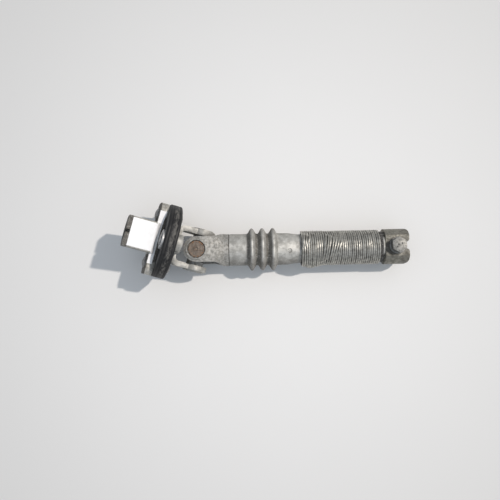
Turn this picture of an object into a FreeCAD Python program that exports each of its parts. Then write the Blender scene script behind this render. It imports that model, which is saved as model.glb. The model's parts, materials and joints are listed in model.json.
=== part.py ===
"""Lower steering shaft: a rubber coupling disc, a universal joint, a bellows tube and a slotted clamp end.

The shaft is modelled along +X from the centre of the universal joint's cross, in millimetres. The coupling
side lies along -X. Both are then bent at the cross and laid on the ground as the shaft comes to rest: on the
lower edge of the rubber disc and on the nut under the clamp.
"""
import FreeCAD, Part
import math
import os

from FreeCAD import Placement, Rotation, Vector

X_AXIS, Y_AXIS, Z_AXIS = Vector(1, 0, 0), Vector(0, 1, 0), Vector(0, 0, 1)

# Fits
press_gap = 0.02  # radial room between pieces that are pressed together
running_gap = 0.03  # radial room of a bearing
seat_gap = 0.05  # room between faces that touch or nearly touch
slip_gap = 0.10  # radial room of a bolt or rivet in its hole

# Cross and its bearings
cross_core_radius = 8.6
shoulder_radius = 6.8
shoulder_reach = 8.9  # from the centre to the face that the seal stands on
trunnion_radius = 4.6
needle_diameter = 2.4
needle_length = 6.8
needle_count = 15
cup_radius = 8.0
cup_span = 39.4  # over the closed ends of two opposite cups
cup_floor = 1.6
cup_length = 9.2
cup_edge = 0.7
seal_inner_radius = 4.75
trunnion_end_gap = 0.2

# Disc yoke, pressed from thick sheet
sheet = 5.0
disc_yoke_arm_inner = 14.3
disc_yoke_tip = 12.0
disc_yoke_waist = 9.8
disc_yoke_base_half = 11.5
waist_back = 13.0  # where the arms' waist begins behind the cross's centre
waist_front = 6.0
fold_radius = 9.0
collar_radius = 9.9
collar_height = 1.1
disc_yoke_reach = 21.0  # from the cross's centre to the inner face of the base
pilot_radius = 6.0

# Rubber disc, its sleeves and fastenings
disc_radius = 36.0
disc_web = 4.8  # rubber between a sleeve and the flat beyond it
disc_thickness = 12.0
disc_edge = 2.0
disc_bore = 9.0
fastening_radius = 23.0
sleeve_radius = 6.5
rivet_radius = 4.0
rivet_head_radius = 5.8
rivet_head_height = 2.8
rivet_head_rim = 0.8  # height of a head's upright edge, below its dome
low_head_height = 1.5
washer_radius = 9.0
washer_thickness = 1.6
washer_room = 0.15  # between a flange rivet's washer and the fold of the disc yoke
ear_radius = 8.4

# Input flange
crossbar_thickness = 7.5
crossbar_half_length = 34.0
crossbar_half_height = 13.0
crossbar_corner = 7.0
hub_length = 25.4
hub_half_width = 14.2
hub_top = 18.6
hub_bore = 8.0
hub_relief = 0.8  # how much wider the bore is in the cross bar
hub_edge = 1.2
pinch_slot = 3.0
pinch_hole_radius = 4.2
pinch_height = 13.15
hub_blend = 3.0

# Shaft yoke, forged
fork_gap_half = 13.5
fork_arm = 6.0
fork_tip = 11.8
fork_scoop = 24.0  # room in which the disc yoke's arms swing
neck_step = 0.2  # how far the neck stands proud of the tube
neck_end = 29.6
flare_start = 16.5
flare_length = 9.0
spigot_room = 0.3
spigot_length = 13.0

# Shaft tube with bellows
tube_radius = 15.0
tube_wall = 1.8
bellows_first = 51.2
bellows_pitch = 10.0
bellows_count = 3
bellows_crest = 20.1
bellows_crest_arc = 1.7
bellows_root_arc = 1.7
bellows_steps = 3  # straight runs in half a root of the inner wall
taper_start = 84.0
taper_end = 97.0
tube_end_radius = 13.4
tube_end = 124.0
stake_place = 86.5
stake_turn = 11.0  # degrees round the tube from the top
stake_radius = 1.3
stake_depth = 0.7

# Winding and its sleeve
sleeve_start = 97.6
sleeve_end = 175.2
sleeve_wall = 1.1
winding_start = 98.6
wire_pitch = 2.0
wire_turns = 38
wire_diameter = 1.9
loose_turns = 7
loose_lift = 0.6  # how far the first turns stand off the others

# Clamp fork
clamp_radius = 16.75
clamp_start = 176.2
clamp_end = 198.3
clamp_flat = 13.6
clamp_neck = 13.6
clamp_spigot_start = 150.0
socket_radius = 9.0
socket_floor = 177.0
slot_width = 6.4
finger_corner = 3.0
finger_bevel = 0.3  # share of the corner at which its two bevels meet
finger_lip = 3.0

# Clamp bolt
bolt_place = 187.2
bolt_radius = 4.0
hexagon = 13.0  # across flats
head_height = 6.0
nut_height = 6.5
bolt_washer_radius = 8.0
bolt_washer = 1.6
nut_washer_radius = 8.0
bolt_end_short = 0.4

# How it lies: the bend at each pair of trunnions
bend_sideways = -15.5
bend_down = 16.4
pitch_limits = -10.0, 20.0  # between which the shaft's own pitch is sought
pitch_steps = 50

# Worked out from the sizes above
disc_yoke_arm_outer = disc_yoke_arm_inner + sheet
disc_flat = fastening_radius + sleeve_radius + disc_web
yoke_back = disc_yoke_reach + sheet
disc_back = yoke_back + disc_thickness
crossbar_back = disc_back + crossbar_thickness
hub_back = crossbar_back + hub_length
hub_middle = (hub_back + crossbar_back) / 2
fold_centre = disc_yoke_arm_outer - fold_radius
fold_edge = fold_centre + math.sqrt(fold_radius ** 2 - (fold_radius - washer_thickness) ** 2)
flange_washer_radius = fastening_radius - fold_edge - washer_room
fork_arm_outer = fork_gap_half + fork_arm
neck_radius = tube_radius + neck_step
spigot_radius = tube_radius - tube_wall - spigot_room
needle_ring_radius = trunnion_radius + running_gap + needle_diameter / 2
cup_bore = needle_ring_radius + needle_diameter / 2 + press_gap
cup_mouth = cup_span / 2 - cup_length
cup_bottom = cup_span / 2 - cup_floor
sleeve_bore = tube_end_radius + press_gap
winding_seat = sleeve_bore + sleeve_wall
head_seat = clamp_flat + bolt_washer
nut_face = clamp_flat + bolt_washer + nut_height


def rod(radius, start, end):
    """A cylinder along X."""
    return Part.makeCylinder(radius, end - start, Vector(start, 0, 0), X_AXIS)


def ring(outer, inner, start, end):
    """A tube along X."""
    return rod(outer, start, end).cut(rod(inner, start, end))


def block(x_range, y_range, z_range):
    """A box between three pairs of limits."""
    corner = Vector(x_range[0], y_range[0], z_range[0])
    sizes = [high - low for low, high in (x_range, y_range, z_range)]
    return Part.makeBox(*sizes, corner)


def pierce(radius, direction, reach, place=Vector()):
    """A cylinder through a place, as far each way as reach."""
    return Part.makeCylinder(radius, 2 * reach, place - direction * reach, direction)


def turned(shape, direction):
    """A shape modelled along +X, turned to another direction."""
    copy = shape.copy()
    copy.Placement = Placement(Vector(), Rotation(X_AXIS, direction)).multiply(copy.Placement)
    return copy


def revolved(edges):
    """A solid of revolution about X from a closed outline in the XZ plane."""
    return Part.Face(Part.Wire(edges)).revolve(Vector(), X_AXIS, 360)


def run(points):
    """Straight edges through points given as (along, out)."""
    corners = [Vector(x, 0, z) for x, z in points]
    return [Part.LineSegment(a, b).toShape() for a, b in zip(corners, corners[1:])]


def prism(points, direction, half):
    """An outline extruded both ways along Y or Z; the points are (x, z) or (x, y)."""
    if direction == Y_AXIS:
        corners = [Vector(x, -half, out) for x, out in points]
    else:
        corners = [Vector(x, out, -half) for x, out in points]
    return Part.Face(Part.makePolygon(corners + corners[:1])).extrude(direction * 2 * half)


def mirrored_outline(points):
    """An outline from its upper half, given from left to right."""
    return points + [(x, -out) for x, out in reversed(points)]


def hexagon_prism(bottom, top):
    """A hexagon nut blank along Z with its corners taken off at both ends."""
    corner = hexagon / math.sqrt(3)
    turns = [math.radians(60 * k + 30) for k in range(7)]
    outline = [Vector(corner * math.cos(a), corner * math.sin(a), bottom) for a in turns]
    blank = Part.Face(Part.makePolygon(outline)).extrude(Z_AXIS * (top - bottom))
    chamfer = (corner - hexagon / 2) * math.tan(math.radians(30))
    middle = bottom + chamfer
    barrel = Part.makeCylinder(corner + seat_gap, top - bottom - 2 * chamfer, Vector(0, 0, middle))
    for base, sign in ((middle, -1), (top - chamfer, 1)):
        cone = Part.makeCone(corner + seat_gap, hexagon / 2, chamfer, Vector(0, 0, base), Z_AXIS * sign)
        barrel = barrel.fuse(cone)
    return blank.common(barrel)


def edges_where(shape, test):
    """The edges whose bounding box passes a test."""
    return [edge for edge in shape.Edges if test(edge.BoundBox)]


def bearing_cup():
    """A closed cup along +X, its mouth towards the cross."""
    outside = rod(cup_radius, cup_mouth, cup_span / 2)
    rim = edges_where(outside, lambda box: box.XMin > cup_span / 2 - seat_gap)
    return outside.makeChamfer(cup_edge, rim).cut(rod(cup_bore, cup_mouth, cup_bottom))


def needle_set():
    """A full row of loose needles round a trunnion along +X."""
    start = cup_bottom - needle_length - trunnion_end_gap
    needle = rod(needle_diameter / 2, start, start + needle_length)
    needle.translate(Vector(0, needle_ring_radius, 0))
    needles = []
    for k in range(needle_count):
        copy = needle.copy()
        copy.rotate(Vector(), X_AXIS, 360 * k / needle_count)
        needles.append(copy)
    return Part.makeCompound(needles)


def cross_seal():
    """A rubber ring between the cross's shoulder and the cup's mouth."""
    return ring(cup_radius - seat_gap, seal_inner_radius, shoulder_reach + seat_gap, cup_mouth - seat_gap)


def cross():
    """The forged cross: a core, four shoulders and four trunnions."""
    body = Part.makeSphere(cross_core_radius)
    for direction in (Y_AXIS, Z_AXIS):
        body = body.fuse(pierce(shoulder_radius, direction, shoulder_reach))
        body = body.fuse(pierce(trunnion_radius, direction, cup_bottom - trunnion_end_gap))
    return body.removeSplitter()


def disc_yoke():
    """The pressed yoke: a U of thick sheet with round arm ends, collars at the cups and two ears on the disc."""
    outer = block((-yoke_back, disc_yoke_tip), (-disc_yoke_arm_outer, disc_yoke_arm_outer),
                  (-disc_yoke_tip, disc_yoke_tip))
    outer = outer.makeFillet(fold_radius, edges_where(
        outer, lambda box: box.XMax < -yoke_back + seat_gap and box.ZLength > disc_yoke_tip))
    inner = block((-disc_yoke_reach, 2 * disc_yoke_tip), (-disc_yoke_arm_inner, disc_yoke_arm_inner),
                  (-disc_yoke_tip, disc_yoke_tip))
    inner = inner.makeFillet(fold_radius - sheet, edges_where(
        inner, lambda box: box.XMax < -disc_yoke_reach + seat_gap and box.ZLength > disc_yoke_tip))
    side = prism(mirrored_outline([
        (-yoke_back, disc_yoke_base_half), (-disc_yoke_reach, disc_yoke_base_half),
        (-waist_back, disc_yoke_waist), (-waist_front, disc_yoke_waist),
        (0, disc_yoke_waist)]), Y_AXIS, disc_yoke_arm_outer)
    side = side.fuse(pierce(disc_yoke_tip, Y_AXIS, disc_yoke_arm_outer))
    yoke = outer.cut(inner).common(side)
    for sign in (-1, 1):
        foot = Vector(-yoke_back, 0, sign * fastening_radius)
        ear = Part.makeCylinder(ear_radius, sheet, foot, X_AXIS)
        web = prism([(-yoke_back, 0), (-disc_yoke_reach, 0), (-disc_yoke_reach, sign * fastening_radius),
                     (-yoke_back, sign * fastening_radius)], Y_AXIS, ear_radius)
        yoke = yoke.fuse(ear).fuse(web)
    yoke = yoke.fuse(pierce(collar_radius, Y_AXIS, disc_yoke_arm_outer + collar_height).cut(
        pierce(collar_radius, Y_AXIS, disc_yoke_arm_inner)))
    yoke = yoke.cut(pierce(cup_radius + press_gap, Y_AXIS, cup_span))
    yoke = yoke.cut(rod(pilot_radius, -yoke_back, 0))
    for sign in (-1, 1):
        hole = rod(rivet_radius + slip_gap, -yoke_back, 0)
        yoke = yoke.cut(hole.translated(Vector(0, 0, sign * fastening_radius)))
    return yoke.removeSplitter()


def rubber_disc():
    """The coupling disc: round with four flats, rounded edges and a hole at each fastening."""
    disc = rod(disc_radius, -disc_back, -yoke_back)
    disc = disc.common(block((-disc_back, -yoke_back), (-disc_flat, disc_flat), (-disc_flat, disc_flat)))
    rims = edges_where(disc, lambda box: box.XLength < seat_gap)
    disc = disc.makeFillet(disc_edge, rims)
    disc = disc.cut(rod(disc_bore, -disc_back, -yoke_back))
    for place in fastening_places():
        disc = disc.cut(rod(sleeve_radius, -disc_back, -yoke_back).translated(place))
    return disc


def fastening_places():
    """The four fastenings: two on the flange's ears, then two on the yoke's."""
    return [Y_AXIS * fastening_radius, Y_AXIS * -fastening_radius,
            Z_AXIS * fastening_radius, Z_AXIS * -fastening_radius]


def disc_sleeve():
    """A steel sleeve as long as the disc is thick."""
    return ring(sleeve_radius - press_gap, rivet_radius + slip_gap, -disc_back, -yoke_back)


def plain_washer(radius, start):
    """A washer on a rivet, from start towards +X."""
    return ring(radius, rivet_radius + slip_gap, start, start + washer_thickness)


def rivet_head(seat, way, height):
    """A round head on its seat, domed towards way, which is 1 for +X and -1 for -X."""
    reach, rise = rivet_head_radius, height - rivet_head_rim
    ball = (reach ** 2 + rise ** 2) / (2 * rise)
    crown, rim = seat + way * height, seat + way * rivet_head_rim
    dome = Part.makeSphere(ball, Vector(crown - way * ball, 0, 0))
    return dome.common(rod(reach, *sorted((rim, crown)))).fuse(rod(reach, *sorted((seat, rim))))


def rivet(start, end, start_height):
    """A solid rivet with a domed head at each end; start and end are its heads' seats."""
    shank = rod(rivet_radius, start, end)
    heads = rivet_head(start, -1, start_height).fuse(rivet_head(end, 1, rivet_head_height))
    return shank.fuse(heads).removeSplitter()


def input_flange():
    """The flange: a clamp hub with bore, pinch slot and bolt hole, on a cross bar with two ears."""
    bar = block((-crossbar_back, -disc_back), (-crossbar_half_length, crossbar_half_length),
                (-crossbar_half_height, crossbar_half_height))
    bar = bar.makeFillet(crossbar_corner, edges_where(
        bar, lambda box: box.XLength > crossbar_thickness / 2))
    hub = rod(hub_half_width, -hub_back, -crossbar_back)
    hub = hub.fuse(block((-hub_back, -crossbar_back), (-hub_half_width, hub_half_width), (0, hub_top)))
    hub = hub.removeSplitter()
    hub = hub.makeFillet(hub_edge, edges_where(
        hub, lambda box: box.ZMin > hub_top - seat_gap and box.XLength > hub_length / 2))
    flange = bar.fuse(hub)
    for side in (-1, 1):
        flange = flange.fuse(hub_cove(side))
    flange = flange.removeSplitter()
    flange = flange.cut(rod(hub_bore, -hub_back, -disc_back))
    flange = flange.cut(rod(hub_bore + hub_relief, -crossbar_back, -disc_back))
    flange = flange.cut(block((-hub_back, -crossbar_back - hub_blend), (-pinch_slot / 2, pinch_slot / 2),
                              (0, hub_top)))
    bolt_line = Vector(-hub_middle, 0, pinch_height)
    flange = flange.cut(pierce(pinch_hole_radius, Y_AXIS, hub_half_width, bolt_line))
    for place in fastening_places()[:2]:
        flange = flange.cut(rod(rivet_radius + slip_gap, -crossbar_back, -disc_back).translated(place))
    return flange


def hub_cove(side):
    """The concave blend between the hub's flank and the cross bar, above the axis."""
    start, flank = -crossbar_back - hub_blend, hub_half_width
    widths = sorted((side * (flank - seat_gap), side * (flank + hub_blend)))
    web = block((start, -crossbar_back + seat_gap), widths, (0, crossbar_half_height - crossbar_corner))
    hollow = Vector(start, side * (flank + hub_blend), 0)
    return web.cut(pierce(hub_blend, Z_AXIS, crossbar_half_height, hollow))


def shaft_yoke():
    """The forged fork: two arms with cup bores, a scooped crotch, a round neck and a spigot for the tube."""
    flare_end = flare_start + flare_length
    side = prism(mirrored_outline([(-fork_tip, fork_arm_outer), (flare_start, fork_arm_outer),
                                   (flare_end, neck_radius), (neck_end, neck_radius)]), Y_AXIS, neck_radius)
    top = prism(mirrored_outline([(0, fork_tip), (flare_start, fork_tip), (flare_end, neck_radius),
                                  (neck_end, neck_radius)]), Z_AXIS, fork_arm_outer)
    top = top.fuse(pierce(fork_tip, Z_AXIS, fork_arm_outer))
    reach = math.hypot(fork_tip, fork_arm_outer) + seat_gap
    turned_blank = revolved(run([(-fork_tip, 0), (-fork_tip, reach), (flare_start, reach),
                                 (flare_end, neck_radius), (neck_end, neck_radius), (neck_end, 0),
                                 (-fork_tip, 0)]))
    yoke = side.common(top).common(turned_blank)
    yoke = yoke.cut(pierce(fork_scoop, Z_AXIS, fork_gap_half))
    yoke = yoke.fuse(pierce(collar_radius, Z_AXIS, fork_arm_outer + collar_height).cut(
        pierce(collar_radius, Z_AXIS, fork_gap_half)))
    yoke = yoke.cut(pierce(cup_radius + press_gap, Z_AXIS, cup_span))
    return yoke.fuse(rod(spigot_radius, neck_end, neck_end + spigot_length)).removeSplitter()


def flank_angle():
    """How steeply the straight flanks of the bellows fall."""
    half, arcs = bellows_pitch / 2, bellows_crest_arc + bellows_root_arc
    drop = bellows_crest - tube_radius - arcs
    return math.atan2(drop, half) + math.asin(arcs / math.hypot(half, drop))


def bellows_outside():
    """The folds outside, from the first root to the last: arcs at crests and roots with straight flanks."""
    angle, half = flank_angle(), bellows_pitch / 2
    crest_height, root_height = bellows_crest - bellows_crest_arc, tube_radius + bellows_root_arc
    edges = []
    for fold in range(bellows_count):
        crest = Vector(bellows_first + fold * bellows_pitch, 0, crest_height)
        sides = []
        for way in (-1, 1):
            normal = Vector(way * math.sin(angle), 0, math.cos(angle))
            root = Vector(crest.x + way * half, 0, root_height)
            low = root - normal * bellows_root_arc
            foot = root - Z_AXIS * bellows_root_arc
            middle = root + bisector(low - root, foot - root) * bellows_root_arc
            high = crest + normal * bellows_crest_arc
            sides.append(high)
            edges.append(Part.Arc(foot, middle, low).toShape())
            edges.append(Part.LineSegment(low, high).toShape())
        edges.append(Part.Arc(sides[0], crest + Z_AXIS * bellows_crest_arc, sides[1]).toShape())
    return edges


def bellows_inside():
    """Points of the inner wall as (along, out), from the first root to the last."""
    angle, half = flank_angle(), bellows_pitch / 2
    reach = bellows_root_arc + tube_wall
    root_height = tube_radius + bellows_root_arc
    peak = bellows_crest - bellows_crest_arc + (bellows_crest_arc - tube_wall) / math.cos(angle)
    turns = [angle * step / bellows_steps for step in range(bellows_steps + 1)]
    points = []
    for fold in range(bellows_count):
        middle = bellows_first + fold * bellows_pitch
        rising = [(middle - half + reach * math.sin(a), root_height - reach * math.cos(a)) for a in turns]
        falling = [(2 * middle - x, z) for x, z in reversed(rising)]
        points += rising + [(middle, peak)] + falling[:-1]
    return points + falling[-1:]


def bisector(first, second):
    """The unit vector half way between two directions."""
    unit_a, unit_b = Vector(first), Vector(second)
    unit_a.normalize()
    unit_b.normalize()
    middle = unit_a + unit_b
    middle.normalize()
    return middle


def shaft_tube():
    """The thin tube with its bellows, the tapered end that enters the sleeve, and a staking mark."""
    inner_radius, end_radius = tube_radius - tube_wall, tube_end_radius - tube_wall
    start = neck_end + seat_gap
    inside = bellows_inside()
    first, last = inside[0][0], inside[-1][0]
    edges = run([(start, tube_radius), (first, tube_radius)]) + bellows_outside()
    edges += run([(last, tube_radius), (taper_start, tube_radius), (taper_end, tube_end_radius),
                  (tube_end, tube_end_radius), (tube_end, end_radius), (taper_end, end_radius),
                  (taper_start, inner_radius)] + inside[::-1] + [(start, inner_radius), (start, tube_radius)])
    tube = revolved(Part.__sortEdges__(edges))
    stake = Part.makeCone(0, stake_radius, stake_depth, Vector(stake_place, 0, tube_radius - stake_depth))
    stake.rotate(Vector(), X_AXIS, stake_turn)
    return tube.cut(stake)


def winding_sleeve():
    """The plain sleeve under the winding."""
    return ring(winding_seat - press_gap, sleeve_bore, sleeve_start, sleeve_end)


def wire_winding():
    """The close turns of wire as one ridged solid; the first turns stand a little off the others."""
    points = []
    for turn in range(wire_turns):
        lift = loose_lift if turn < loose_turns else 0
        start = winding_start + turn * wire_pitch
        crest = winding_seat + wire_diameter + lift
        points += [(start, crest - wire_diameter / 2), (start + wire_pitch / 2, crest)]
    end = winding_start + wire_turns * wire_pitch
    points += [(end, winding_seat + wire_diameter / 2), (end, winding_seat), (winding_start, winding_seat)]
    return revolved(run(points + points[:1]))


def clamp_fork():
    """The clamp end: a spigot in the sleeve, a neck, and two fingers round a socket with a slot each side."""
    body = rod(tube_end_radius - press_gap, clamp_spigot_start, sleeve_end)
    body = body.fuse(rod(clamp_neck, sleeve_end, clamp_start))
    head = rod(clamp_radius, clamp_start, clamp_end)
    flats = block((clamp_start, clamp_end), (-clamp_radius, clamp_radius), (-clamp_flat, clamp_flat))
    head = head.common(flats)
    head = head.cut(block((bolt_place, clamp_end), (-slot_width / 2, slot_width / 2),
                          (-clamp_flat, clamp_flat)))
    inner = edges_where(head, lambda box: box.XMin > clamp_end - seat_gap and box.XLength < seat_gap
                        and box.YLength < seat_gap and abs(box.YMin) < slot_width)
    head = head.makeFillet(finger_lip, inner)
    bevel = finger_corner * finger_bevel
    rounding = prism(mirrored_outline([
        (clamp_start, clamp_radius), (clamp_end - finger_corner, clamp_radius),
        (clamp_end - bevel, clamp_radius - bevel), (clamp_end, clamp_radius - finger_corner)]),
        Z_AXIS, clamp_flat)
    head = head.common(rounding)
    head = head.cut(pierce(bolt_radius + slip_gap, Z_AXIS, clamp_flat, Vector(bolt_place, 0, 0)))
    return body.fuse(head).cut(rod(socket_radius, socket_floor, clamp_end)).removeSplitter()


def clamp_bolt():
    """The hexagon bolt, head up."""
    shank = Part.makeCylinder(bolt_radius, head_seat + nut_face - bolt_end_short,
                              Vector(0, 0, bolt_end_short - nut_face))
    return hexagon_prism(head_seat, head_seat + head_height).fuse(shank).removeSplitter()


def clamp_nut():
    """The hexagon nut under the clamp."""
    nut = hexagon_prism(-nut_face, -nut_face + nut_height)
    return nut.cut(pierce(bolt_radius + press_gap, Z_AXIS, nut_face))


def bolt_washer_at(height):
    """A washer on the clamp bolt, from height upwards."""
    washer = Part.makeCylinder(bolt_washer_radius, bolt_washer, Vector(0, 0, height))
    return washer.cut(pierce(bolt_radius + slip_gap, Z_AXIS, nut_face))


def bent(pitch, lift):
    """The placements of the shaft, the cross and the coupling at a pitch of the shaft."""
    shaft = Placement(Vector(0, 0, lift), Rotation(Y_AXIS, pitch))
    middle = shaft.multiply(Placement(Vector(), Rotation(Z_AXIS, bend_sideways)))
    coupling = middle.multiply(Placement(Vector(), Rotation(Y_AXIS, bend_down)))
    return shaft, middle, coupling


def feet(pitch):
    """The heights of the disc's lower edge and of the nut's lower edge, under the cross's centre."""
    shaft, _, coupling = bent(pitch, 0)
    edge = Vector(-yoke_back - disc_edge, 0, disc_edge - disc_flat)
    disc_foot = coupling.multVec(edge).z - disc_edge
    nut_foot = shaft.multVec(Vector(bolt_place + hexagon / 2, 0, -nut_face)).z
    return disc_foot, nut_foot


def lying():
    """The placements in which both feet stand on the ground."""
    low, high = pitch_limits
    for _ in range(pitch_steps):
        pitch = (low + high) / 2
        disc_foot, nut_foot = feet(pitch)
        if nut_foot > disc_foot:
            low = pitch
        else:
            high = pitch
    return bent(pitch, -min(feet(pitch)))


def coupling_pieces():
    """The pieces that move with the input flange."""
    pieces = {"input_flange": input_flange(), "rubber_disc": rubber_disc(), "disc_yoke": disc_yoke()}
    for number, place in enumerate(fastening_places(), 1):
        pieces[f"disc_sleeve_{number}"] = disc_sleeve().translated(place)
        on_flange = number <= 2
        if on_flange:
            washer = plain_washer(flange_washer_radius, -yoke_back)
            name, fastener = f"flange_rivet_{number}", rivet(
                -crossbar_back, washer_thickness - yoke_back, rivet_head_height)
        else:
            washer = plain_washer(washer_radius, -disc_back - washer_thickness)
            name, fastener = f"yoke_rivet_{number - 2}", rivet(
                -disc_back - washer_thickness, -disc_yoke_reach, low_head_height)
        pieces[f"rivet_washer_{number}"] = washer.translated(place)
        pieces[name] = fastener.translated(place)
    add_bearings(pieces, "disc", Y_AXIS)
    return pieces


def add_bearings(pieces, yoke, direction):
    """The cup, needles and seal at each end of one pair of trunnions."""
    for number, way in enumerate((direction, direction * -1), 1):
        pieces[f"{yoke}_cup_{number}"] = turned(bearing_cup(), way)
        pieces[f"{yoke}_needles_{number}"] = turned(needle_set(), way)
        pieces[f"{yoke}_seal_{number}"] = turned(cross_seal(), way)


def shaft_pieces():
    """The pieces that move with the shaft."""
    pieces = {"shaft_yoke": shaft_yoke(), "shaft_tube": shaft_tube(), "winding_sleeve": winding_sleeve(),
              "wire_winding": wire_winding(), "clamp_fork": clamp_fork()}
    at_bolt = Vector(bolt_place, 0, 0)
    pieces["clamp_bolt"] = clamp_bolt().translated(at_bolt)
    pieces["clamp_nut"] = clamp_nut().translated(at_bolt)
    pieces["head_washer"] = bolt_washer_at(clamp_flat).translated(at_bolt)
    pieces["nut_washer"] = bolt_washer_at(-clamp_flat - bolt_washer).translated(at_bolt)
    add_bearings(pieces, "shaft", Z_AXIS)
    return pieces


def placed(pieces, placement):
    """The pieces at a placement."""
    moved = {}
    for name, shape in pieces.items():
        copy = shape.copy()
        copy.Placement = placement.multiply(copy.Placement)
        moved[name] = copy
    return moved


def assembly():
    """All pieces as the shaft lies, over the middle of its own outline, and the three placements."""
    placements = lying()
    pieces = {}
    for group, placement in zip((shaft_pieces(), {"cross": cross()}, coupling_pieces()), placements):
        pieces.update(placed(group, placement))
    box = Part.makeCompound(list(pieces.values())).optimalBoundingBox(False, False)
    shift = Vector(-box.Center.x, -box.Center.y, -box.ZMin)
    for shape in pieces.values():
        shape.translate(shift)
    return pieces, [Placement(shift, Rotation()).multiply(p) for p in placements]


def main():
    """Write one STEP file per piece and say where the joints and mounts are."""
    os.makedirs("parts", exist_ok=True)
    pieces, (shaft, middle, coupling) = assembly()
    for name, shape in pieces.items():
        if not shape.isValid():
            print("not valid:", name)
        shape.exportStep(f"parts/{name}.step")
    facts = {
        "centre": middle.Base,
        "hinge_z": middle.Rotation.multVec(Z_AXIS),
        "hinge_y": middle.Rotation.multVec(Y_AXIS),
        "shaft_x": shaft.Rotation.multVec(X_AXIS),
        "shaft_z": shaft.Rotation.multVec(Z_AXIS),
        "coupling_x": coupling.Rotation.multVec(X_AXIS),
        "coupling_y": coupling.Rotation.multVec(Y_AXIS),
        "coupling_z": coupling.Rotation.multVec(Z_AXIS),
        "hub_middle": coupling.multVec(Vector(-hub_middle, 0, 0)),
        "pinch_middle": coupling.multVec(Vector(-hub_middle, 0, pinch_height)),
        "socket_mouth": shaft.multVec(Vector(clamp_end, 0, 0)),
        "socket_start": shaft.multVec(Vector(bolt_place + bolt_radius, 0, 0)),
        "bore_sizes": (hub_bore, hub_length, pinch_hole_radius, 2 * hub_half_width),
    }
    for name, value in facts.items():
        print(name, [round(part, 6) for part in value])


main()
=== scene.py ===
"""Dresses a lower steering shaft: a finish for every part, and the pieces that are too fine for its solids.

Sizes are in millimetres in the two frames in which the shaft was drawn. Both have their origin at the
centre of the universal joint's cross. The shaft lies along +X of its own frame, and the coupling along -X
of the other.
"""
from __future__ import annotations

import json
import logging
import math
import random
from contextlib import contextmanager
from dataclasses import dataclass, field
from enum import Enum
from functools import cached_property
from typing import Callable, Iterator, Sequence

import bmesh
import bpy
from mathutils import Matrix, Vector

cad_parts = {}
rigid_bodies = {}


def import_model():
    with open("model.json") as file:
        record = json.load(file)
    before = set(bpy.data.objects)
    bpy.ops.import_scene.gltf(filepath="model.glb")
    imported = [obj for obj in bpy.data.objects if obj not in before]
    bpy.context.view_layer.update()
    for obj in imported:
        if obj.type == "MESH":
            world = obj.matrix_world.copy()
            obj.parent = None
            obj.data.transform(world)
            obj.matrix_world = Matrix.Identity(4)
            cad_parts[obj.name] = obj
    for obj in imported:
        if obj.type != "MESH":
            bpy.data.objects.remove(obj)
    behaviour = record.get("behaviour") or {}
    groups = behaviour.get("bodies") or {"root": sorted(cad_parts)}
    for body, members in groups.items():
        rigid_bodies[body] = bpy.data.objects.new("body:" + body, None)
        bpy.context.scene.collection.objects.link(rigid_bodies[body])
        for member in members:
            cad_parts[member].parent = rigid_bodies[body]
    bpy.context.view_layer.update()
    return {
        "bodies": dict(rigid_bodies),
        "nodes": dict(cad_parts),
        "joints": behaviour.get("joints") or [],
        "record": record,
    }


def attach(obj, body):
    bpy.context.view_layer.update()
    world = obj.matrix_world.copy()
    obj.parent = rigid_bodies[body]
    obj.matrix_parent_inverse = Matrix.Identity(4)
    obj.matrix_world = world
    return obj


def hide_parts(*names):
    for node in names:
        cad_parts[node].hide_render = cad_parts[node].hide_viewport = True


LOG = logging.getLogger("steering_shaft")
MM = 0.001
SMOOTH_ANGLE = math.radians(35)
SHARP_ANGLE = math.radians(32)
FLAT_ANGLE = math.radians(0.6)
QUARTER = math.pi / 2
TOUCH = 0.01  # how near to a plane a point counts as on it
MIX_FIRST, MIX_SECOND, MIX_COLOUR = 6, 7, 2  # where a Mix node keeps its two colours and their mix
JOINT_LINE = 29.62
FOLD_PITCH = 10.0
FIRST_CREST = 51.2
PIN_MIDDLE = (86.5, -2.86, 14.72)
Colour = tuple[float, float, float, float]


class Body(Enum):
    """The bodies that new pieces ride on."""

    SHAFT = "shaft"
    COUPLING = "coupling"


class Slot(Enum):
    """The record's material slots, one of which each finish names."""

    FLANGE = "flange_steel"
    DISC = "disc_rubber"
    PRESSED = "pressed_steel"
    FORGED = "forged_steel"
    CUP = "cup_steel"
    BEARING = "bearing_steel"
    SEAL = "seal_rubber"
    RIVET = "rivet_steel"
    WASHER = "washer_steel"
    TUBE = "tube_steel"
    WIRE = "wire_steel"
    CLAMP = "clamp_steel"
    BOLT = "bolt_steel"


def grey(level: float, warmth: float = 0.0) -> Colour:
    """Give a linear grey whose blue is lowered by the warmth, and its red raised by a quarter of it."""
    return (level * (1 + warmth / 4), level, level * (1 - warmth), 1.0)


@dataclass(frozen=True)
class LocalFrame:
    """The place and the axes, in the row's frame, along which a sub-assembly was drawn."""

    origin: Vector
    x_axis: Vector
    z_axis: Vector

    def turn(self) -> Matrix:
        """Give the rotation whose columns are the three local axes."""
        x, z = self.x_axis.normalized(), self.z_axis.normalized()
        return Matrix((x, z.cross(x), z)).transposed()

    def to_row(self) -> Matrix:
        """Give the matrix from local millimetres to metres in the row's frame."""
        return Matrix.Translation(self.origin) @ self.turn().to_4x4() @ Matrix.Scale(MM, 4)


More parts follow.
